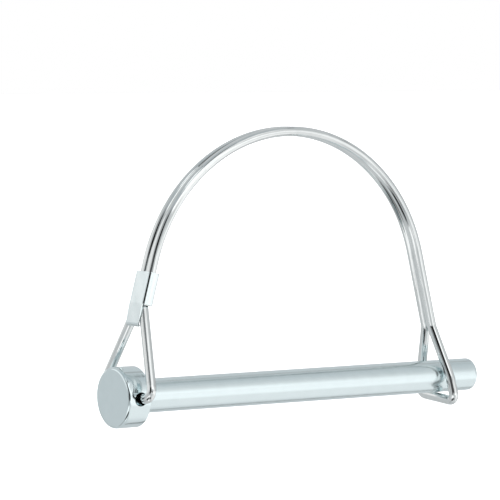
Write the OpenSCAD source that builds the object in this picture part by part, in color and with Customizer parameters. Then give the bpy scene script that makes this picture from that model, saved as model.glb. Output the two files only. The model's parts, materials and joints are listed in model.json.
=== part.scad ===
// Wire-lock safety pin: a headed steel pin whose spring-wire bail pivots in the head and snaps
// round the far end of the shank.
// X runs along the shank from head to tip, Z points up into the bail, Y lies across.
// The origin is on the shank's axis at the shoulder under the head.

/* [Pin] */
// Diameter of the shank
shank_d = 6.35; // [6:0.05:6.6]
// Usable length, from the shoulder to the snap loop
usable_len = 69.85; // [68:0.05:72]
// Full length of the shank, from the shoulder to the tip
shank_len = 79; // [78:0.1:80]
// Rounding on the edge of the tip
tip_round = 0.6; // [0.3:0.1:1]
// How much the shank's radius eases from just before the snap loop to the tip
lead_ease = 0.035; // [0.02:0.005:0.06]
// How far before the snap loop that easing starts
lead_start = 0.35; // [0.3:0.05:0.6]
// Diameter of the head
head_d = 11.4; // [11:0.1:12]
// Thickness of the head
head_t = 4.9; // [4.6:0.1:5.2]
// Chamfer round the front face of the head
head_chamfer = 0.4; // [0.2:0.05:0.6]
// Edge break round the back of the head
head_edge = 0.15; // [0.1:0.05:0.3]
// Fillet where the shank meets the shoulder
shoulder_fillet = 0.25; // [0.1:0.05:0.4]
// Diameter of the cross-hole in the head
hole_d = 2.56; // [2.5:0.02:2.7]
// Distance of the cross-hole's axis in front of the shoulder
hole_back = 2.1; // [2:0.05:2.3]

/* [Wire] */
// Diameter of the spring wire
wire_d = 1.85; // [1.7:0.05:1.9]
// Gap between the two strands where they run side by side
strand_gap = 0.05; // [0.03:0.01:0.1]
// Where each wire end lies in its hole, off the hole's axis towards the tip
seat_x = 0.22; // [0.1:0.02:0.24]
// Where each wire end lies in its hole, above the hole's axis
seat_z = 0.14; // [0.05:0.01:0.2]
// How deep each wire end reaches in from the side of the head
stub_depth = 3.2; // [2.5:0.1:4]
// Centre-line radius of the bend from wire end to leg
stub_bend_r = 1.5; // [1.3:0.1:1.6]
// Distance from the pin's axis to the corner between wire end and leg
leg_foot_y = 9; // [8.7:0.1:9.2]

/* [Bail] */
// Distance of the crown from the shoulder, along the shank
crown_x = 35; // [34.5:0.1:35.5]
// Height of the crown's centre line above the shank's axis
crown_z = 48.75; // [48:0.05:49.5]
// Radius of the arch on the head's side
head_arch_r = 32.5; // [32.2:0.1:32.8]
// Radius of the arch on the tip's side
tip_arch_r = 31.4; // [31:0.1:31.8]
// Lean of the straight strands above the head, from upright
head_lean = 15.5; // [15:0.1:16]
// Lean of the straight strands above the tip, from upright
tip_lean = 13.5; // [13:0.1:14]
// Height at which the strands split into the two head legs
head_split_z = 16.75; // [16.5:0.05:17]
// Height at which the strands split into the two loop legs
tip_split_z = 10; // [9.6:0.1:10.4]
// Centre-line radius of the slight bends where the strands split and at the loop's knees
split_bend_r = 1.5; // [1.2:0.1:2]

/* [Snap loop] */
// Half the distance between the loop's legs, level with the shank's axis
loop_half_w = 4.72; // [4.6:0.02:4.9]
// Half the distance between the loop's lower corners
loop_foot_half_w = 5.4; // [5.2:0.05:5.6]
// Centre-line radius of the loop's lower corners
loop_bend_r = 1.3; // [1.1:0.1:1.4]
// Gap between the crossbar and the underside of the shank
crossbar_gap = 0.12; // [0.1:0.01:0.2]
// Slope of the crossbar across the shank
crossbar_tilt = 4.5; // [3:0.5:5]
// Lean of the loop's legs, from upright
loop_lean = 8; // [7:0.5:9]

/* [Ferrule] */
// Thickness of the ferrule's sheet
sheet_t = 0.3; // [0.25:0.05:0.35]
// Clearance between the sheet and the strands
sheet_gap = 0.03; // [0.02:0.01:0.05]
// Distance of the sleeve's lower end above the split
sleeve_lift = 0.36; // [0.34:0.02:0.6]
// Length of the folded sleeve
sleeve_len = 6.05; // [5.8:0.05:6.4]
// Width of the folded sleeve
sleeve_w = 4.87; // [4.75:0.01:4.95]
// Outer radius of the sleeve's four folds
fold_r = 0.65; // [0.5:0.05:0.7]
// Width of the open seam on the sleeve's inner side
seam_w = 0.35; // [0.2:0.05:0.5]
// Length of the tongue below the sleeve
tongue_len = 3.65; // [3.4:0.05:3.8]
// Width of the tongue's upper end
tongue_top_w = 4.3; // [4.2:0.05:4.4]
// Width of the tongue's lower end
tongue_end_w = 4.1; // [3.9:0.05:4.15]
// Lean of the tongue, from upright
tongue_lean = 12.5; // [12:0.5:14]
// Length of the lip turned in at the tongue's lower end
lip_len = 0.7; // [0.5:0.05:0.9]
// Angle of the lip to the tongue
lip_turn = 38; // [30:2:46]

/* [Hidden] */
$fn = 48;
// thin gap left between two pieces of wire that hinge on each other
cut_gap = 0.05;
// how much the wire swells where it has been bent, and how far a straight runs on into a bend
bend_swell = 0.02;
bend_lap = 0.1;
// how far beyond a surface a cutting tool reaches, and how deep the fillet's square is rooted
past = 1;
fillet_root = 0.1;
// sides of a turned surface on the pin
pin_sides = 96;
pin_colour = [0.74, 0.79, 0.80];
wire_colour = [0.80, 0.83, 0.84];
ferrule_colour = [0.85, 0.89, 0.89];

shank_r = shank_d / 2;
wire_r = wire_d / 2;
strand_y = (wire_d + strand_gap) / 2;
tip_r = shank_r - lead_ease;

// hinge line of the whole bail, through both wire ends
pivot_x = -hole_back + seat_x;
pivot_z = seat_z;

// centres of the two arch radii, both straight below the crown
head_arch_cz = crown_z - head_arch_r;
tip_arch_cz = crown_z - tip_arch_r;
// lower ends of the arch on each side
head_arch_end_x = crown_x - head_arch_r * cos(head_lean);
head_arch_end_z = head_arch_cz + head_arch_r * sin(head_lean);
tip_arch_end_x = crown_x + tip_arch_r * cos(tip_lean);
tip_arch_end_z = tip_arch_cz + tip_arch_r * sin(tip_lean);
// points where the strands split
head_split_x = head_arch_end_x - (head_arch_end_z - head_split_z) * tan(head_lean);
tip_split_x = tip_arch_end_x + (tip_arch_end_z - tip_split_z) * tan(tip_lean);

// opening angle left at the crown, where the two halves of the bail hinge on each other
crown_cut = cut_gap / tip_arch_r * 180 / PI;

// direction from one point to the next, the turn a path makes at its middle point, and the
// straight length that rounding the turn uses up on each side of that point
function heading(a, b) = (b - a) / norm(b - a);
function turn(a, b, c) = acos(heading(a, b) * heading(b, c));
function trim(a, b, c, bend_r) = bend_r * tan(turn(a, b, c) / 2);

// corners of each head leg: wire end in the hole, foot, split and the top of the strand
function stub_end(side) = [pivot_x, side * (head_d / 2 - stub_depth), pivot_z];
function leg_foot(side) = [pivot_x, side * leg_foot_y, pivot_z];
function head_split(side) = [head_split_x, side * strand_y, head_split_z];
function head_strand_top(side) = [head_arch_end_x - cut_gap * sin(head_lean), side * strand_y,
                                  head_arch_end_z - cut_gap * cos(head_lean)];

// corners of the snap loop: top of the strand, split, knee level with the shank's axis, and foot
loop_x = usable_len + wire_r;
crossbar_z = -(shank_r + wire_r + crossbar_gap) / cos(crossbar_tilt);
function foot_z(side) = crossbar_z + side * loop_foot_half_w * tan(crossbar_tilt);
function tip_strand_top(side) = [tip_arch_end_x, side * strand_y, tip_arch_end_z];
function tip_split(side) = [tip_split_x, side * strand_y, tip_split_z];
function knee(side) = [loop_x, side * loop_half_w, 0];
function foot(side) = [loop_x - foot_z(side) * tan(loop_lean), side * loop_foot_half_w,
                       foot_z(side)];
// where a leg meets the crossbar's upturned end, just above the bend
foot_tail = 0.3;
function leg_end(side) = foot(side) + heading(foot(side), knee(side))
                         * (foot_tail + trim(knee(side), foot(side), foot(-side), loop_bend_r));

// ferrule, in a frame whose Z runs up the strands and whose X points to the inner side
sleeve_t = 2 * (wire_r + sheet_gap + sheet_t);
plate_x = -sleeve_t / 2;

// a straight piece of wire between two points, drawn out beyond each by the lengths given
module straight(a, b, before = 0, after = 0) {
    along = heading(a, b);
    translate(a - before * along) rotate([0, acos(along.z), atan2(along.y, along.x)])
        cylinder(d = wire_d, h = norm(b - a) + before + after);
}

// the rounded bend of wire at b, on the way from a to c
module elbow(a, b, c, bend_r) {
    into = heading(a, b);
    axis = cross(into, heading(b, c)) / norm(cross(into, heading(b, c)));
    inward = cross(axis, into);
    centre = b - trim(a, b, c, bend_r) * into + bend_r * inward;
    multmatrix([[-inward.x, into.x, axis.x, centre.x], [-inward.y, into.y, axis.y, centre.y],
                [-inward.z, into.z, axis.z, centre.z], [0, 0, 0, 1]])
        rotate_extrude(angle = turn(a, b, c)) translate([bend_r, 0])
        circle(d = wire_d + bend_swell);
}

// wire through four points in a row, rounded at the two inner ones
module bent_wire(a, b, c, d, b_bend_r, c_bend_r) {
    b_back = bend_lap - trim(a, b, c, b_bend_r);
    c_back = bend_lap - trim(b, c, d, c_bend_r);
    straight(a, b, after = b_back);
    straight(b, c, before = b_back, after = c_back);
    straight(c, d, before = c_back);
    elbow(a, b, c, b_bend_r);
    elbow(b, c, d, c_bend_r);
}

// an arc of wire in the XZ plane, swept upwards from an angle above the X axis
module wire_arc(radius, from, sweep) {
    rotate([90, 0, 0]) rotate([0, 0, from])
        rotate_extrude(angle = sweep) translate([radius, 0]) circle(d = wire_d);
}

// the pin's half outline, radius to the right and length upwards
module pin_outline() {
    body_r = head_d / 2;
    polygon([[0, -head_t], [body_r - head_chamfer, -head_t], [body_r, -head_t + head_chamfer],
             [body_r, -head_edge], [body_r - head_edge, 0], [shank_r, 0],
             [shank_r, usable_len - lead_start], [tip_r, shank_len - tip_round],
             [tip_r - tip_round, shank_len], [0, shank_len]]);
    translate([tip_r - tip_round, shank_len - tip_round]) circle(r = tip_round);
    difference() {
        translate([shank_r - fillet_root, -fillet_root]) square(shoulder_fillet + fillet_root);
        translate([shank_r + shoulder_fillet, shoulder_fillet]) circle(r = shoulder_fillet);
    }
}

module headed_pin() {
    color(pin_colour) difference() {
        rotate([0, 90, 0]) rotate_extrude($fn = pin_sides) pin_outline();
        translate([-hole_back, 0, 0]) rotate([90, 0, 0])
            cylinder(d = hole_d, h = head_d + 2 * past, center = true);
    }
}

// one wire end with its leg: out of the cross-hole, round the bend, up to the split and on
// through the ferrule
module head_leg(side) {
    color(wire_colour) bent_wire(stub_end(side), leg_foot(side), head_split(side),
                                 head_strand_top(side), stub_bend_r, split_bend_r);
}

module head_leg_near() { head_leg(-1); }

module head_leg_far() { head_leg(1); }

// a rectangle about the origin with rounded corners
module rounded_box(x_size, y_size, corner_r) {
    square([x_size - 2 * corner_r, y_size], center = true);
    square([x_size, y_size - 2 * corner_r], center = true);
    for (x = [-1, 1], y = [-1, 1])
        translate([x * (x_size / 2 - corner_r), y * (y_size / 2 - corner_r)]) circle(r = corner_r);
}

// sleeve cross-section: folded sheet round both strands, open at a seam on its inner side
module sleeve_section() {
    difference() {
        rounded_box(sleeve_t, sleeve_w, fold_r);
        rounded_box(sleeve_t - 2 * sheet_t, sleeve_w - 2 * sheet_t, fold_r - sheet_t);
        translate([0, -seam_w / 2]) square([sleeve_t / 2 + past, seam_w]);
    }
}

// plate below the sleeve, narrowing a little towards its turned-in lip
module tongue() {
    half_top = tongue_top_w / 2;
    half_end = tongue_end_w / 2;
    rotate([90, 0, 90]) linear_extrude(sheet_t)
        polygon([[-half_end, -tongue_len], [half_end, -tongue_len], [half_top, 0], [-half_top, 0]]);
    translate([0, -half_end, -tongue_len]) rotate([0, -lip_turn, 0])
        translate([0, 0, -lip_len]) cube([sheet_t, tongue_end_w, lip_len]);
}

module ferrule() {
    color(ferrule_colour) translate([head_split_x, 0, head_split_z]) rotate([0, head_lean, 0])
        translate([0, 0, sleeve_lift]) {
            difference() {
                linear_extrude(sleeve_len) sleeve_section();
                translate([plate_x + sheet_t, -sleeve_w, 0]) rotate([0, -head_lean, 0])
                    translate([0, 0, -past]) cube([sleeve_t, 2 * sleeve_w, past]);
            }
            translate([plate_x, 0, 0]) rotate([0, tongue_lean - head_lean, 0]) tongue();
        }
}

// arch strand on the head's side, from above the ferrule to the crown
module head_arch(side) {
    color(wire_colour) translate([crown_x, side * strand_y, head_arch_cz])
        wire_arc(head_arch_r, 90, 90 - head_lean);
}

module head_arch_near() { head_arch(-1); }

module head_arch_far() { head_arch(1); }

// arch strand on the tip's side, from the straight above the snap loop to just past the crown
module tip_arch(side) {
    color(wire_colour) translate([crown_x, side * strand_y, tip_arch_cz])
        wire_arc(tip_arch_r, tip_lean, 90 - tip_lean - crown_cut);
}

module tip_arch_near() { tip_arch(-1); }

module tip_arch_far() { tip_arch(1); }

// one leg of the snap loop: the straight strand, then out past the shank to the foot's bend
module loop_leg(side) {
    color(wire_colour) bent_wire(tip_strand_top(side), tip_split(side), knee(side),
                                 leg_end(side), split_bend_r, split_bend_r);
}

module loop_leg_near() { loop_leg(-1); }

module loop_leg_far() { loop_leg(1); }

// bottom of the snap loop: the bar under the shank, bent up at both ends to meet the legs
module loop_crossbar() {
    color(wire_colour) bent_wire(leg_end(-1), foot(-1), foot(1), leg_end(1),
                                 loop_bend_r, loop_bend_r);
}

headed_pin();
head_leg_near();
head_leg_far();
ferrule();
head_arch_near();
head_arch_far();
tip_arch_near();
tip_arch_far();
loop_leg_near();
loop_leg_far();
loop_crossbar();
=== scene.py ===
"""Looks of a wire lock pin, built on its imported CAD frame. Lengths are in metres and angles in
radians."""

import json
import math
from itertools import accumulate

import bmesh
import bpy
from mathutils import Matrix, Vector


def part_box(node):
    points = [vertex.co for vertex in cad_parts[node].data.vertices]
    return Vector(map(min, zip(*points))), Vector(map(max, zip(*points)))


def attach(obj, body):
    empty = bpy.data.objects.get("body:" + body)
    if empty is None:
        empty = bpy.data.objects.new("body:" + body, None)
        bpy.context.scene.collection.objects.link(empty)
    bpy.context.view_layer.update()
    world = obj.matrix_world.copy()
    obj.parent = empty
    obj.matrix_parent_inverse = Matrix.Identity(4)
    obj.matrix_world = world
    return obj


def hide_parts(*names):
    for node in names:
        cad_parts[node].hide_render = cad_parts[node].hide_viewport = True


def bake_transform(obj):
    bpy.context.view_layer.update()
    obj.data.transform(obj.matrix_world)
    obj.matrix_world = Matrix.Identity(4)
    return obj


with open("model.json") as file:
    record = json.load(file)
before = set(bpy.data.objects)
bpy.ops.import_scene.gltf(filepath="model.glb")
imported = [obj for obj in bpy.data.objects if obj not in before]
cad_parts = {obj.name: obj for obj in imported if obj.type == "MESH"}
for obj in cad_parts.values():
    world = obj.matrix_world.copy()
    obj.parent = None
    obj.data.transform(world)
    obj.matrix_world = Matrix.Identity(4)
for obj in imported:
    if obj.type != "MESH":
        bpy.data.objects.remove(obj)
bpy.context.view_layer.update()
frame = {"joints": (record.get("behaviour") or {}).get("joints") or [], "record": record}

MM = 0.001
NEARLY_ZERO = 1e-9

# ---- sizes and places, from the frame where it states them ----


def joint_place(name):
    """Where a joint's axis crosses the plane of the bail."""
    return Vector(next(j["pos_m"] for j in frame["joints"] if j["name"] == name))


def arch_end(node, towards_tip, lean):
    """Centre of the lower end of an arch strand, from its node's box, in the plane of the bail."""
    low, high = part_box(node)
    x = high.x - WIRE_R * math.cos(lean) if towards_tip else low.x + WIRE_R * math.cos(lean)
    return Vector((x, 0, low.z + WIRE_R * math.sin(lean)))


strand_low, strand_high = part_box("head_arch_near")
pin_low, pin_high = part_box("headed_pin")
loop_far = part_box("loop_crossbar")[1].x
shank_mount = next(m for m in frame["record"]["mounts"] if m["name"] == "shank")

WIRE_R = (strand_high.y - strand_low.y) / 2
STRAND_Y = -(strand_high.y + strand_low.y) / 2
CROWN = Vector((strand_high.x, 0, strand_high.z - WIRE_R))
HEAD_LEAN = math.radians(15.5)
TIP_LEAN = math.radians(13.5)
HEAD_ARCH_END = arch_end("head_arch_near", False, HEAD_LEAN)
TIP_ARCH_END = arch_end("tip_arch_near", True, TIP_LEAN)

PIVOT = joint_place("bail_swing")

SHANK_R = shank_mount["dims"]["r_mm"] * MM
SHANK_END = pin_high.x
EASE_START = shank_mount["dims"]["length_mm"] * MM
EASE = 0.035 * MM
HEAD_R = pin_high.z
HEAD_T = -pin_low.x
HOLE_R = 1.28 * MM
HOLE_X = -2.1 * MM

STUB_DEPTH = 3.2 * MM
LEG_FOOT_Y = 9.0 * MM
STUB_BEND_R = 1.5 * MM
HEAD_SPLIT_Z = 16.75 * MM
HEAD_STRAND_DOWN = Vector((-math.tan(HEAD_LEAN), 0, -1))
HEAD_SPLIT = HEAD_ARCH_END + HEAD_STRAND_DOWN * (HEAD_ARCH_END.z - HEAD_SPLIT_Z)
TIP_SPLIT_Z = 10 * MM
TIP_STRAND_DOWN = Vector((math.tan(TIP_LEAN), 0, -1))
TIP_SPLIT = TIP_ARCH_END + TIP_STRAND_DOWN * (TIP_ARCH_END.z - TIP_SPLIT_Z)
SPLIT_BEND_R = 2.6 * MM
KNEE = Vector((70.775 * MM, 4.72 * MM, 0))
KNEE_BEND_R = 6 * MM
LOOP_LEAN = math.radians(8)
FOOT_Y = 5.4 * MM
FOOT_BEND_R = 1.3 * MM
CROSSBAR_TILT = math.radians(4.5)
CROSSBAR_Z = -4.233 * MM

# how finely the meshes are divided, and the angle past which an edge is shaded sharp
RINGS_EVERY = 0.4 * MM
BEND_RINGS_EVERY = RINGS_EVERY / 2
AROUND_WIRE = 40
AROUND_PIN = 288
AROUND_HOLE = 96
WIRE_SHARP = math.radians(50)
PIN_SHARP = math.radians(32)
SHEET_SHARP = math.radians(40)


# ---- meshes ----


def make_piece(name, mesh, material):
    """An object for a finished mesh, with its material."""
    piece = bpy.data.objects.new(name, mesh)
    bpy.context.scene.collection.objects.link(piece)
    piece.data.materials.append(material)
    return piece


def mesh_from(bm, name, sharp_angle):
    """A mesh from bm, shaded smooth except across edges sharper than the angle."""
    bmesh.ops.recalc_face_normals(bm, faces=bm.faces)
    mesh = bpy.data.meshes.new(name)
    bm.to_mesh(mesh)
    bm.free()
    for face in mesh.polygons:
        face.use_smooth = True
    mesh.set_sharp_from_angle(angle=sharp_angle)
    return mesh


def evenly(start, end, step):
    """Points from start up to, but not including, end, about step apart."""
    count = max(1, round((end - start).length / step))
    return [start.lerp(end, i / count) for i in range(count)]


def bend_points(before, corner, after, radius):
    """The rounded turn of a path at a corner: points from its first to its last tangent point."""
    least_count = 4
    into = (corner - before).normalized()
    out = (after - corner).normalized()
    turn = into.angle(out)
    axis = into.cross(out).normalized()
    start = corner - into * radius * math.tan(turn / 2)
    centre = start + axis.cross(into) * radius
    count = max(least_count, math.ceil(turn * radius / BEND_RINGS_EVERY))
    turns = [Matrix.Rotation(turn * i / count, 3, axis) for i in range(count + 1)]
    return [centre + part_turn @ (start - centre) for part_turn in turns]


def rounded_path(corners, radii):
    """A path through corners, each inner one rounded to its radius."""
    path, last = [], corners[0]
    for i, radius in enumerate(radii, start=1):
        bend = bend_points(corners[i - 1], corners[i], corners[i + 1], radius)
        path += evenly(last, bend[0], RINGS_EVERY) + bend[:-1]
        last = bend[-1]
    return path + evenly(last, corners[-1], RINGS_EVERY) + [corners[-1]]


def arch_points(end, lean):
    """The arc from an arch strand's lower end up to the crown, which it meets level."""
    across = end.x - CROWN.x
    radius = (across**2 + (CROWN.z - end.z) ** 2) / 2 / (CROWN.z - end.z)
    sweep = math.pi / 2 - lean
    count = round(sweep * radius / RINGS_EVERY)
    side = math.copysign(1, across)
    centre = Vector((CROWN.x, 0, CROWN.z - radius))
    angles = [lean + sweep * i / count for i in range(count + 1)]
    return [centre + radius * Vector((side * math.cos(a), 0, math.sin(a))) for a in angles]


def beside(points, y):
    """The same points, moved sideways to y."""
    return [Vector((p.x, y, p.z)) for p in points]


def foot(side):
    """The corner where a loop leg meets the tilted crossbar."""
    z = CROSSBAR_Z + side * FOOT_Y * math.tan(CROSSBAR_TILT)
    return Vector((KNEE.x - z * math.tan(LOOP_LEAN), side * FOOT_Y, z))


def head_side_path(side):
    """From the wire's end in the cross-hole up to the crown."""
    y = side * STRAND_Y
    corners = [
        Vector((PIVOT.x, side * (HEAD_R - STUB_DEPTH), PIVOT.z)),
        Vector((PIVOT.x, side * LEG_FOOT_Y, PIVOT.z)),
        Vector((HEAD_SPLIT.x, y, HEAD_SPLIT.z)),
        Vector((HEAD_ARCH_END.x, y, HEAD_ARCH_END.z)),
    ]
    leg = rounded_path(corners, [STUB_BEND_R, STUB_BEND_R])
    return leg[:-1] + beside(arch_points(HEAD_ARCH_END, HEAD_LEAN), y)


def tip_side_path(side):
    """From the crown down to the middle of the crossbar under the shank."""
    y = side * STRAND_Y
    arch = beside(reversed(arch_points(TIP_ARCH_END, TIP_LEAN)), y)
    corners = [
        arch[-1],
        Vector((TIP_SPLIT.x, y, TIP_SPLIT.z)),
        Vector((KNEE.x, side * KNEE.y, KNEE.z)),
        foot(side),
        (foot(1) + foot(-1)) / 2,
    ]
    return arch[:-1] + rounded_path(corners, [SPLIT_BEND_R, KNEE_BEND_R, FOOT_BEND_R])


def lengths_along(path, first=0.0):
    """How far along the path each of its points is, counted on from first."""
    total, out = first, [first]
    for a, b in zip(path, path[1:]):
        total += (b - a).length
        out.append(total)
    return out


def tangents(path):
    """The way the path runs at each of its points."""
    ways = [path[1] - path[0]] + [c - a for a, c in zip(path, path[2:])] + [path[-1] - path[-2]]
    return [way.normalized() for way in ways]


def wire_mesh(name, path, first_length, round_start=False):
    """A tube along path. Its rings carry how far along the wire and which way round they are, for
    the drawn streaks in the material. Where the wire is bent tightly it is flattened a little, as
    bending does."""
    flattening = 0.05
    least_curl = 1
    end_shrink = 0.9
    bm = bmesh.new()
    grain = bm.verts.layers.float_vector.new("grain")
    along = lengths_along(path, first_length)
    direction = tangents(path)
    side = direction[0].orthogonal().normalized()
    rings = []
    for i, centre in enumerate(path):
        side = (side - side.dot(direction[i]) * direction[i]).normalized()
        other = direction[i].cross(side)
        # how sharply the wire bends here, and which way
        before, after = direction[max(i - 1, 0)], direction[min(i + 1, len(path) - 1)]
        span = along[min(i + 1, len(path) - 1)] - along[max(i - 1, 0)]
        curl = (after - before) / span
        squeeze = flattening * min(1, curl.length * WIRE_R)
        curl_way = curl.normalized() if curl.length > least_curl else Vector()
        shrink = end_shrink if round_start and i == 0 else 1
        ring = []
        for k in range(AROUND_WIRE):
            angle = 2 * math.pi * k / AROUND_WIRE
            out = side * math.cos(angle) + other * math.sin(angle)
            out -= curl_way * out.dot(curl_way) * squeeze
            vert = bm.verts.new(centre + out * WIRE_R * shrink)
            vert[grain] = Vector((math.cos(angle), math.sin(angle), along[i] / MM))
            ring.append(vert)
        rings.append(ring)
    for low, high in zip(rings, rings[1:]):
        for k in range(AROUND_WIRE):
            m = (k + 1) % AROUND_WIRE
            bm.faces.new((low[k], low[m], high[m], high[k]))
    bm.faces.new(rings[0])
    bm.faces.new(rings[-1])
    return mesh_from(bm, name, WIRE_SHARP)


def turned_profile():
    """Half outline of the pin, as (distance along the shank, radius), from the centre of the head's
    face to the centre of the tip. The rings between the ends of a flat run carry no shape."""
    rim, soft, edge, fillet, tip = 0.58 * MM, 0.05 * MM, 0.15 * MM, 0.25 * MM, 0.6 * MM
    rim_drop = 0.004 * MM
    tip_run, ease_left = tip * 1.6, EASE * 0.1
    tip_r = SHANK_R - EASE

    def arc(x, r, radius, start, stop, count):
        angles = [math.radians(start + (stop - start) * i / count) for i in range(count + 1)]
        return [(x + radius * math.cos(a), r + radius * math.sin(a)) for a in angles]

    face = [(-HEAD_T, HEAD_R * f) for f in (0, 0.2, 0.4, 0.6, 0.8, 0.85)]
    face += [(-HEAD_T, HEAD_R - rim - soft)]
    near_rim = [(x, r - rim_drop) for x, r in arc(-HEAD_T + rim, HEAD_R - rim, rim, 172, 98, 10)]
    wall = [(-HEAD_T + rim + (HEAD_T - rim - edge) * f, HEAD_R) for f in (0.05, 0.2, 0.4, 0.6, 0.8)]
    back = arc(-edge, HEAD_R - edge, edge, 90, 0, 6) + [(0, HEAD_R * 0.8)]
    neck = arc(fillet, SHANK_R + fillet, fillet, 180, 270, 8)
    shares = (0.02, 0.05, 0.1, 0.2, 0.3, 0.4, 0.5, 0.6, 0.7, 0.8, 0.9, 1)
    shank = [(EASE_START * f, SHANK_R) for f in shares]
    shank += [(SHANK_END - tip_run, tip_r + ease_left)]
    nose = arc(SHANK_END - tip, tip_r - tip, tip, 90, 0, 12)
    end = [(SHANK_END, tip_r * f) for f in (0.6, 0.3, 0)]
    return face + near_rim + wall + back + neck + shank + nose + end


def lathe(bm, profile, count):
    """Turns (along, radius) points about the X axis."""
    rings = []
    for x, r in profile:
        if r < NEARLY_ZERO:
            rings.append([bm.verts.new((x, 0, 0))])
            continue
        angles = [2 * math.pi * k / count for k in range(count)]
        rings.append([bm.verts.new((x, r * math.cos(a), r * math.sin(a))) for a in angles])
    for low, high in zip(rings, rings[1:]):
        for k in range(count):
            m = (k + 1) % count
            loop = [low[k % len(low)], low[m % len(low)], high[m % len(high)], high[k % len(high)]]
            bm.faces.new(list(dict.fromkeys(loop)))


def hole_cutter():
    """A rod across the head with a flare at each mouth, which breaks the hole's edge."""
    mouth_depth, flare_len, flare_rise = 0.17 * MM, 1.5 * MM, 1.44 * MM
    mouth = HEAD_R - mouth_depth
    half = [(0, HOLE_R), (mouth, HOLE_R), (mouth + flare_len, HOLE_R + flare_rise)]
    bm = bmesh.new()
    lathe(bm, [(-x, r) for x, r in reversed(half)][:-1] + half, AROUND_HOLE)
    for end in (1, -1):
        bm.faces.new([v for v in bm.verts if v.co.x * end > mouth + flare_len / 2])
    bmesh.ops.rotate(bm, verts=bm.verts, matrix=Matrix.Rotation(math.pi / 2, 3, "Z"))
    bmesh.ops.translate(bm, verts=bm.verts, vec=(HOLE_X, 0, 0))
    mesh = mesh_from(bm, "hole_cutter", math.pi)
    cutter = bpy.data.objects.new("hole_cutter", mesh)
    bpy.context.scene.collection.objects.link(cutter)
    return cutter


def cut(piece, cutter):
    """Takes the cutter out of the piece, for good."""
    boolean = piece.modifiers.new("cut", "BOOLEAN")
    boolean.operation = "DIFFERENCE"
    boolean.solver = "EXACT"
    boolean.object = cutter
    graph = bpy.context.evaluated_depsgraph_get()
    result = bpy.data.meshes.new_from_object(piece.evaluated_get(graph))
    piece.modifiers.clear()
    piece.data = result
    result.set_sharp_from_angle(angle=PIN_SHARP)
    bpy.data.objects.remove(cutter)


# ---- the ferrule's folded sheet ----

SHEET_T = 0.3 * MM
SHEET_GAP = 0.01 * MM
SLEEVE_LIFT = 0.36 * MM
SLEEVE_LEN = 6.05 * MM
SLEEVE_W = 4.87 * MM
SLEEVE_T = 2 * (WIRE_R + SHEET_GAP + SHEET_T)
FRONT_BEND_R = 0.5 * MM
BACK_BEND_R = 0.6 * MM
SEAM_W = 0.35 * MM
TONGUE_LEN = 3.65 * MM
TONGUE_END_W = 4.1 * MM
TONGUE_LEAN = math.radians(12.5)
TONGUE_FLATTENS_IN = 0.25 * MM
LIP_LEN = 0.7 * MM
LIP_BEND = 0.35 * MM
LIP_TURN = math.radians(38)


def fold_runs():
    """The folded sheet's middle surface, from the middle of the plate: each run is its length and
    its bend radius, or None for a flat one."""
    half_sheet = SHEET_T / 2
    front, back = FRONT_BEND_R, BACK_BEND_R
    plate = SLEEVE_W / 2 - half_sheet - front
    wall = SLEEVE_T - SHEET_T - front - back
    flange = SLEEVE_W / 2 - half_sheet - back - SEAM_W / 2
    quarter = math.pi / 2
    front_fold, back_fold = (front * quarter, front), (back * quarter, back)
    return ((plate, None), front_fold, (wall, None), back_fold, (flange, None))


def fold_point(arc):
    """Where a distance round the fold comes to, as (inwards from the plate, across)."""
    place, heading = Vector((0, 0)), 0.0
    for length, radius in fold_runs():
        step = min(arc, length)
        if radius:
            turn = step / radius
            mid = heading + turn / 2
            place += Vector((math.sin(mid), math.cos(mid))) * 2 * radius * math.sin(turn / 2)
            heading += turn
        else:
            place += Vector((math.sin(heading), math.cos(heading))) * step
        arc -= step
    return place


def steps(start, stop, step):
    """Values from start up to, but not including, stop, no further apart than step. A hair over a
    whole number of steps doesn't add another."""
    hair = 0.01
    count = max(1, math.ceil((stop - start) / step - hair))
    return [start + (stop - start) * i / count for i in range(count)]


def tongue_point(arc, edge_arc, down):
    """The plate below the sleeve: it flattens, narrows a little, leans out and ends in a turned-in
    lip."""
    folded = fold_point(abs(arc))
    flat = min(1, down / TONGUE_FLATTENS_IN)
    end_share = min(1, down / TONGUE_LEN)
    start_half = fold_point(edge_arc).y
    half = start_half + (TONGUE_END_W / 2 - start_half) * end_share
    across = math.copysign(abs(arc) / edge_arc * half, arc)
    across = math.copysign(folded.y, arc) * (1 - flat) + across * flat
    lean = TONGUE_LEAN - HEAD_LEAN
    straight = min(down, TONGUE_LEN)
    inwards = folded.x * (1 - flat) - math.sin(lean) * straight
    height = -math.cos(lean) * straight
    rest = down - straight
    turn = min(rest / LIP_BEND, 1) * LIP_TURN
    curved = min(rest, LIP_BEND)
    inwards += math.sin(turn / 2) * curved + math.sin(LIP_TURN) * (rest - curved)
    height -= math.cos(turn / 2) * curved + math.cos(LIP_TURN) * (rest - curved)
    return Vector((inwards, across, height))


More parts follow.
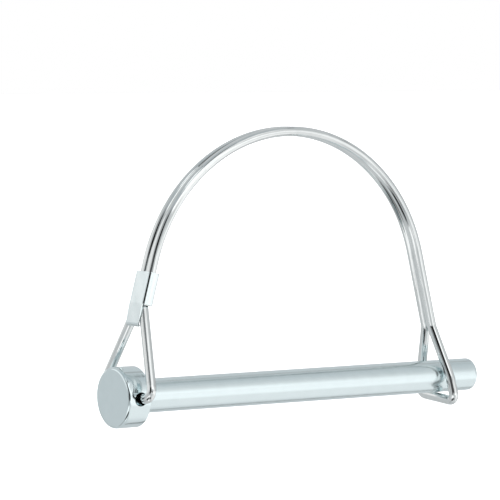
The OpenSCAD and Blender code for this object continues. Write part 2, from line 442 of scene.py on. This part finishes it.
def ferrule_mesh():
    """The blank is a grid over (distance round the fold, distance up the strands). Its lines lie
    closest where the sheet bends."""
    runs = fold_runs()
    plate_end, front_end, wall_end, back_end, sheet_end = accumulate(length for length, _ in runs)
    edge_share, bulge_share = 0.45, 0.35
    edge_arc = plate_end + runs[1][0] * edge_share
    arcs = steps(0, plate_end, 0.25 * MM) + steps(plate_end, edge_arc, 0.05 * MM)
    arcs += steps(edge_arc, front_end, 0.05 * MM)
    arcs += steps(front_end, wall_end, 0.12 * MM) + steps(wall_end, back_end, 0.06 * MM)
    arcs += steps(back_end, sheet_end, 0.25 * MM) + [sheet_end]
    arcs = [-a for a in reversed(arcs[1:])] + arcs
    lip_top = -TONGUE_LEN + 0.1 * MM
    rises = steps(-TONGUE_LEN - LIP_LEN, lip_top, 0.06 * MM)
    rises += steps(lip_top, -TONGUE_FLATTENS_IN, 0.2 * MM)
    rises += steps(-TONGUE_FLATTENS_IN, 0, 0.08 * MM)
    rises += steps(0, SLEEVE_LEN, 0.25 * MM) + [SLEEVE_LEN]
    bulge_start, bulge_height = front_end + runs[2][0] * bulge_share, 0.06 * MM
    dent_depth, dents_across, dents_up = 0.01 * MM, 1500, 1100

    bm = bmesh.new()
    grid = {}
    for i, rise in enumerate(rises):
        for k, arc in enumerate(arcs):
            below_sleeve = rise < -NEARLY_ZERO
            if below_sleeve and abs(arc) > edge_arc + NEARLY_ZERO:
                continue
            place = fold_point(abs(arc))
            rounded = min(1, max(0, (abs(arc) - bulge_start) / (wall_end - bulge_start)))
            bulge = bulge_height * rounded**2 * (3 - 2 * rounded)
            point = Vector((place.x, math.copysign(place.y + bulge, arc), rise))
            if below_sleeve:
                point = tongue_point(arc, edge_arc, -rise)
            dent = dent_depth * math.sin(point.y * dents_across) * math.sin(point.z * dents_up + 1)
            grid[i, k] = bm.verts.new(point + Vector((dent - SLEEVE_T / 2 + SHEET_T / 2, 0, 0)))
    for i in range(len(rises) - 1):
        for k in range(len(arcs) - 1):
            corners = [grid.get(c) for c in ((i, k), (i, k + 1), (i + 1, k + 1), (i + 1, k))]
            if None not in corners:
                bm.faces.new(corners)
    frame_turn = Matrix.Rotation(HEAD_LEAN, 3, "Y")
    origin = HEAD_SPLIT + frame_turn @ Vector((0, 0, SLEEVE_LIFT))
    for vert in bm.verts:
        vert.co = origin + frame_turn @ vert.co
    return mesh_from(bm, "ferrule_sheet", math.radians(60))


def thicken(piece):
    """Gives the folded sheet its thickness, rounds its cut edges and fixes the result."""
    solid = piece.modifiers.new("thickness", "SOLIDIFY")
    solid.thickness = SHEET_T
    solid.offset = 0
    solid.use_even_offset = True
    soften = piece.modifiers.new("edges", "BEVEL")
    soften.width = 0.08 * MM
    soften.segments = 3
    soften.limit_method = "ANGLE"
    soften.angle_limit = math.radians(55)
    graph = bpy.context.evaluated_depsgraph_get()
    result = bpy.data.meshes.new_from_object(piece.evaluated_get(graph))
    piece.modifiers.clear()
    piece.data = result
    for face in result.polygons:
        face.use_smooth = True
    result.set_sharp_from_angle(angle=SHEET_SHARP)


# ---- materials ----


class Nodes:
    """Shorthand for building one material's node tree."""

    def __init__(self, tree):
        self.tree = tree

    def add(self, kind, **settings):
        node = self.tree.nodes.new(kind)
        for key, value in settings.items():
            setattr(node, key, value)
        return node

    def link(self, source, target):
        self.tree.links.new(source, target)

    def noise(self, vector, scale, detail=2.0, roughness=0.5):
        node = self.add("ShaderNodeTexNoise")
        node.inputs["Scale"].default_value = scale
        node.inputs["Detail"].default_value = detail
        node.inputs["Roughness"].default_value = roughness
        self.link(vector, node.inputs["Vector"])
        return node.outputs["Fac"]

    def stretched(self, vector, scale):
        node = self.add("ShaderNodeMapping")
        node.inputs["Scale"].default_value = scale
        self.link(vector, node.inputs["Vector"])
        return node.outputs["Vector"]

    def part(self, vector, axis):
        node = self.add("ShaderNodeSeparateXYZ")
        self.link(vector, node.inputs["Vector"])
        return node.outputs[axis]

    def remap(self, value, low, high, new_low, new_high):
        node = self.add("ShaderNodeMapRange")
        node.inputs["From Min"].default_value = low
        node.inputs["From Max"].default_value = high
        node.inputs["To Min"].default_value = new_low
        node.inputs["To Max"].default_value = new_high
        self.link(value, node.inputs["Value"])
        return node.outputs["Result"]

    def ramp(self, value, stops):
        node = self.add("ShaderNodeValToRGB")
        ramp = node.color_ramp
        while len(ramp.elements) < len(stops):
            ramp.elements.new(0.5)
        for element, (place, colour) in zip(ramp.elements, stops):
            element.position = place
            element.color = (*colour, 1)
        self.link(value, node.inputs["Fac"])
        return node.outputs["Color"]

    def math(self, operation, a, b):
        node = self.add("ShaderNodeMath", operation=operation)
        for socket, value in zip(node.inputs, (a, b)):
            if isinstance(value, (int, float)):
                socket.default_value = value
            else:
                self.link(value, socket)
        return node.outputs["Value"]

    def bump(self, height, distance, strength, normal=None):
        node = self.add("ShaderNodeBump")
        node.inputs["Distance"].default_value = distance
        node.inputs["Strength"].default_value = strength
        self.link(height, node.inputs["Height"])
        if normal:
            self.link(normal, node.inputs["Normal"])
        return node.outputs["Normal"]


def new_metal(name):
    """A material with one metallic shader, and its node shorthand."""
    material = bpy.data.materials.new(name)
    material.use_nodes = True
    nodes = Nodes(material.node_tree)
    shader = material.node_tree.nodes["Principled BSDF"]
    shader.inputs["Metallic"].default_value = 1.0
    return material, nodes, shader


def plated_steel():
    """Bright zinc on turned steel: fine rings round it, soft mottling, a few handling scratches."""
    material, n, shader = new_metal("zinc_plated_turned_steel")
    place = n.add("ShaderNodeTexCoord").outputs["Object"]
    mottle = n.noise(place, 450, 4, 0.6)
    off_axis = n.add("ShaderNodeVectorMath", operation="LENGTH")
    n.link(n.stretched(place, (0, 1, 1)), off_axis.inputs[0])
    feed = n.add("ShaderNodeCombineXYZ")
    rings_per_metre = 9000
    n.link(n.math("MULTIPLY", off_axis.outputs["Value"], rings_per_metre), feed.inputs["X"])
    n.link(n.math("MULTIPLY", n.part(place, "X"), rings_per_metre), feed.inputs["Y"])
    rings = n.noise(feed.outputs["Vector"], 1, 2, 0.6)
    scratch = n.noise(n.stretched(place, (260, 5200, 5200)), 1, 3, 0.7)
    colour = n.ramp(mottle, [(0.3, (0.785, 0.885, 0.905)), (0.65, (0.815, 0.915, 0.935))])
    n.link(colour, shader.inputs["Base Color"])
    # the head is smoother than the shank, which starts at X = 0
    base = n.remap(n.part(place, "X"), 0, 0.2 * MM, 0.1, 0.19)
    worn, scratched = n.remap(mottle, 0.3, 0.7, -0.02, 0.02), n.remap(scratch, 0.55, 0.75, 0, 0.05)
    n.link(n.math("ADD", base, n.math("ADD", worn, scratched)), shader.inputs["Roughness"])
    waves = n.bump(n.noise(place, 260, 2, 0.5), 0.06 * MM, 0.5)
    turned = n.bump(rings, 0.008 * MM, 0.35, waves)
    n.link(n.bump(scratch, 0.006 * MM, 0.3, turned), shader.inputs["Normal"])
    return material


def drawn_wire():
    """Bright drawn spring wire: streaks along its length, duller patches where tools gripped it."""
    material, n, shader = new_metal("zinc_plated_spring_wire")
    grain = n.add("ShaderNodeAttribute", attribute_name="grain").outputs["Vector"]
    flats = n.noise(n.stretched(grain, (2.4, 2.4, 0.03)), 1, 1, 0.5)
    streaks = n.noise(n.stretched(grain, (7, 7, 0.07)), 1, 3, 0.65)
    patches = n.noise(n.stretched(grain, (1.2, 1.2, 0.35)), 1, 3, 0.6)
    colour = n.ramp(patches, [(0.32, (0.77, 0.8, 0.8)), (0.6, (0.83, 0.855, 0.855))])
    n.link(colour, shader.inputs["Base Color"])
    dull, streaked = n.remap(patches, 0.35, 0.75, 0.015, 0.05), n.remap(streaks, 0.4, 0.8, 0, 0.02)
    n.link(n.math("ADD", dull, streaked), shader.inputs["Roughness"])
    waves = n.bump(patches, 0.02 * MM, 0.5)
    drawn = n.bump(flats, 0.15 * MM, 0.8, waves)
    n.link(n.bump(streaks, 0.01 * MM, 0.5, drawn), shader.inputs["Normal"])
    return material


def plated_sheet():
    """Pale zinc on rolled sheet: soft rolling lines, a few specks and scuffs."""
    material, n, shader = new_metal("zinc_plated_sheet")
    place = n.add("ShaderNodeTexCoord").outputs["Object"]
    mottle = n.noise(place, 900, 4, 0.6)
    rolled = n.noise(n.stretched(place, (500, 6000, 500)), 1, 2, 0.6)
    specks = n.noise(place, 2600, 2, 0.5)
    colour = n.ramp(mottle, [(0.3, (0.84, 0.925, 0.935)), (0.65, (0.875, 0.945, 0.955))])
    n.link(colour, shader.inputs["Base Color"])
    worn, specked = n.remap(mottle, 0.3, 0.7, 0.08, 0.12), n.remap(specks, 0.62, 0.72, 0, 0.06)
    n.link(n.math("ADD", worn, specked), shader.inputs["Roughness"])
    waves = n.bump(mottle, 0.012 * MM, 0.4)
    n.link(n.bump(rolled, 0.006 * MM, 0.4, waves), shader.inputs["Normal"])
    return material


def pale_floor():
    """A matt white that glows a little, so it stays pale in every view."""
    material = bpy.data.materials.new("pale_floor")
    material.use_nodes = True
    n = Nodes(material.node_tree)
    shader = material.node_tree.nodes["Principled BSDF"]
    place = n.add("ShaderNodeTexCoord").outputs["Object"]
    colour = n.ramp(n.noise(place, 40, 3, 0.5), [(0.3, (0.9, 0.9, 0.9)), (0.7, (0.92, 0.92, 0.92))])
    n.link(colour, shader.inputs["Base Color"])
    shader.inputs["Roughness"].default_value = 0.7
    shader.inputs["Specular IOR Level"].default_value = 0.1
    shader.inputs["Emission Color"].default_value = (1, 1, 1, 1)
    shader.inputs["Emission Strength"].default_value = 0.5
    return material


# ---- pieces ----


def build_pin(material):
    bm = bmesh.new()
    lathe(bm, turned_profile(), AROUND_PIN)
    mesh = mesh_from(bm, "headed_pin_turned", PIN_SHARP)
    piece = make_piece("headed_pin_turned", mesh, material)
    cut(piece, hole_cutter())
    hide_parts("headed_pin")
    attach(piece, "pin")


def nearest(path, place):
    """The number of the path's point nearest to a place."""
    return min(range(len(path)), key=lambda i: (path[i] - place).length)


def build_bail(material):
    """One wire, parted where its parts follow different bodies: inside the ferrule and half way up
    the arch on the head's side."""
    up_strand = Vector((math.sin(HEAD_LEAN), 0, math.cos(HEAD_LEAN)))
    in_sleeve = HEAD_SPLIT + up_strand * (SLEEVE_LIFT + SLEEVE_LEN / 2)

    def add_wire(name, path, start, **settings):
        mesh = wire_mesh(name, path, start, **settings)
        return make_piece(f"bail_wire_{name}", mesh, material)

    above, risen = {}, {}
    for side, label in ((-1, "near"), (1, "far")):
        rise = head_side_path(side)
        lengths = lengths_along(rise)
        low_cut = nearest(rise, in_sleeve)
        high_cut = len(rise) - 1 - round(len(arch_points(HEAD_ARCH_END, HEAD_LEAN)) / 2)
        leg = add_wire(f"head_leg_{label}", rise[: low_cut + 1], 0, round_start=True)
        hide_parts(f"head_leg_{label}")
        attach(leg, "bail_base")
        riser = add_wire(f"riser_{label}", rise[low_cut : high_cut + 1], lengths[low_cut])
        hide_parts(f"head_arch_{label}")
        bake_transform(riser)
        above[label] = rise[high_cut:-1] + tip_side_path(side)
        risen[label] = lengths[high_cut]
    path = above["near"] + list(reversed(above["far"][:-1]))
    arch = add_wire("arch_and_snap_loop", path, risen["near"])
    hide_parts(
        "head_arch_near",
        "head_arch_far",
        "tip_arch_near",
        "tip_arch_far",
        "loop_leg_near",
        "loop_leg_far",
        "loop_crossbar",
    )
    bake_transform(arch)


def build_ferrule(material):
    piece = make_piece("ferrule_folded_sheet", ferrule_mesh(), material)
    thicken(piece)
    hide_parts("ferrule")
    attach(piece, "bail_base")


build_pin(plated_steel())
build_bail(drawn_wire())
build_ferrule(plated_sheet())


# ---- camera, floor and light ----

VIEW_AZIMUTH = math.radians(34.878)
VIEW_ELEVATION = math.radians(2.987)
VIEW_ROLL = math.radians(-0.175)
VIEW_DISTANCE = 638.618 * MM
VIEW_TARGET = Vector((26.205 * MM, 0, 26.361 * MM))
LENS = 242.626


def add_camera():
    away = Vector(
        (
            -math.sin(VIEW_AZIMUTH) * math.cos(VIEW_ELEVATION),
            -math.cos(VIEW_AZIMUTH) * math.cos(VIEW_ELEVATION),
            math.sin(VIEW_ELEVATION),
        )
    )
    level = Vector((math.cos(VIEW_AZIMUTH), -math.sin(VIEW_AZIMUTH), 0))
    upright = away.cross(level)
    right = math.cos(VIEW_ROLL) * level + math.sin(VIEW_ROLL) * upright
    up = -math.sin(VIEW_ROLL) * level + math.cos(VIEW_ROLL) * upright
    turn = Matrix((right, up, away)).transposed().to_4x4()
    camera = bpy.data.objects.new("camera", bpy.data.cameras.new("camera"))
    camera.data.lens = LENS
    camera.matrix_world = Matrix.Translation(VIEW_TARGET + away * VIEW_DISTANCE) @ turn
    bpy.context.scene.collection.objects.link(camera)
    bpy.context.scene.camera = camera


def add_floor():
    """A pale glowing table, low enough for the bail to swing right round above it. The metal
    doesn't mirror it."""
    half, clearance = 20, 1.15
    bm = bmesh.new()
    level = PIVOT.z - clearance * (loop_far - PIVOT.x)
    corners = ((-half, -half), (half, -half), (half, half), (-half, half))
    bm.faces.new([bm.verts.new((x, y, level)) for x, y in corners])
    mesh = bpy.data.meshes.new("floor")
    bm.to_mesh(mesh)
    bm.free()
    floor = bpy.data.objects.new("floor", mesh)
    floor.data.materials.append(pale_floor())
    floor.visible_glossy = False
    bpy.context.scene.collection.objects.link(floor)


def add_sky_light():
    """Soft light from above for the floor. It adds no highlight, because metal mirrors the tent."""
    light = bpy.data.lights.new("soft_top_light", "SUN")
    light.energy = 1.4
    light.angle = math.radians(80)
    lamp = bpy.data.objects.new("soft_top_light", light)
    lamp.rotation_euler = (math.radians(-12), math.radians(14), 0)
    lamp.visible_glossy = False
    bpy.context.scene.collection.objects.link(lamp)


def grey(value, blue=0.0):
    """A grey of this brightness, cooler by the share of blue."""
    return (value * (1 - 0.6 * blue), value, value * (1 + 0.35 * blue))


# What hangs in the light tent, seen from the pin. Each card is its name, then its (bearing, height,
# half width, half height, tilt) in degrees, its colour, and how soft its edge is. A bearing is 0
# towards the camera and grows towards the camera's right. A later card covers an earlier one.
TENT_CARDS = (
    ("roof", (0, 90, 180, 42, 0), grey(0.5, 0.14), 0.25),
    ("left_wall", (-88, 22, 40, 17, 0), grey(0.92), 0.2),
    ("left_low_wall", (-143, 0, 24, 12, 0), grey(0.92), 0.25),
    ("right_wall", (66, 10, 14, 40, 0), grey(0.84), 0.5),
    ("low_right_table", (90, -42, 56, 23, 0), grey(0.9), 0.35),
    ("low_key_box", (80, -13, 56, 12, -8), grey(1.1), 0.3),
    ("key_column", (66, 3, 12, 19, 0), grey(1.07), 0.4),
    ("key_box", (21, 41, 56, 12, -33), grey(1.25), 0.12),
    ("key_strip", (42, -6, 18, 12, 0), grey(1.2), 0.25),
    ("front_table", (-37, -29, 38, 10, 0), grey(1.12), 0.12),
    ("table_glow", (-25, -76, 40, 8, 0), grey(1.1), 0.3),
    ("upper_flag", (36, 61, 26, 6, 0), grey(0.15), 0.3),
    ("high_box", (48, 48, 34, 5, 0), grey(1.1), 0.25),
    ("high_flag", (-6, 50, 11, 5, 0), grey(0.01), 0.2),
    ("photographer", (-9, 21, 37, 16, -36), grey(0.015), 0.18),
    ("tripod", (-5, 1, 36, 8, 0), grey(0.08), 0.3),
    ("stand", (-27, -2, 10, 20, 0), grey(0.06), 0.25),
    ("low_flag", (-24, -52, 44, 11, 0), grey(0.03), 0.2),
    ("low_left_flag", (-95, -47, 22, 8, 0), grey(0.36), 0.3),
    ("seam_left", (-66, 4, 2.2, 70, 0), grey(0.3), 0.4),
    ("seam_far_left", (-122, 0, 2.2, 34, 0), grey(0.3), 0.4),
    ("seam_right", (112, 20, 2.4, 22, 0), grey(0.35), 0.4),
    ("seam_back", (152, 10, 6, 60, 0), grey(0.4), 0.4),
    ("seam_high", (125, 55, 12, 1.8, 0), grey(0.2), 0.3),
    ("seam_low", (153, -50, 12, 1.8, 0), grey(0.2), 0.3),
)


def add_tent():
    """A light tent round the pin. It is fixed to the room and metal mirrors it. Seen directly, it is
    plain white."""
    world = bpy.data.worlds.new("light_tent")
    bpy.context.scene.world = world
    world.use_nodes = True
    n = Nodes(world.node_tree)
    way = n.add("ShaderNodeTexCoord").outputs["Generated"]

    def part_along(direction):
        dot = n.add("ShaderNodeVectorMath", operation="DOT_PRODUCT")
        dot.inputs[1].default_value = direction
        n.link(way, dot.inputs[0])
        return dot.outputs["Value"]

    to_camera = (-math.sin(VIEW_AZIMUTH), -math.cos(VIEW_AZIMUTH), 0)
    to_right = (math.cos(VIEW_AZIMUTH), -math.sin(VIEW_AZIMUTH), 0)
    bearing = n.math("ARCTAN2", part_along(to_right), part_along(to_camera))
    rise = n.math("ARCSINE", part_along((0, 0, 1)), 0)
    chart = n.add("ShaderNodeCombineXYZ")
    n.link(bearing, chart.inputs["X"])
    n.link(rise, chart.inputs["Y"])

    def mix(share, under, over):
        node = n.add("ShaderNodeMix", data_type="RGBA")
        n.link(share, node.inputs["Factor"])
        for socket, value in ((node.inputs["A"], under), (node.inputs["B"], over)):
            if isinstance(value, tuple):
                socket.default_value = (*value, 1)
            else:
                n.link(value, socket)
        return node.outputs["Result"]

    tent = grey(0.62, 0.05)
    for _, (across, up, half_width, half_height, tilt), colour, softness in TENT_CARDS:
        place = n.add("ShaderNodeMapping", vector_type="TEXTURE")
        place.inputs["Location"].default_value = (math.radians(across), math.radians(up), 0)
        place.inputs["Rotation"].default_value = (0, 0, math.radians(tilt))
        place.inputs["Scale"].default_value = (math.radians(half_width), math.radians(half_height), 1)
        n.link(chart.outputs["Vector"], place.inputs["Vector"])
        reach = n.add("ShaderNodeVectorMath", operation="LENGTH")
        n.link(place.outputs["Vector"], reach.inputs[0])
        tent = mix(n.remap(reach.outputs["Value"], 1 + softness, 1 - softness, 0, 1), tent, colour)
    path = n.add("ShaderNodeLightPath")
    seen = mix(path.outputs["Is Camera Ray"], tent, (1, 1, 1))
    n.link(seen, world.node_tree.nodes["Background"].inputs["Color"])


add_camera()
add_floor()
add_sky_light()
add_tent()
bpy.context.scene.view_settings.view_transform = "Standard"
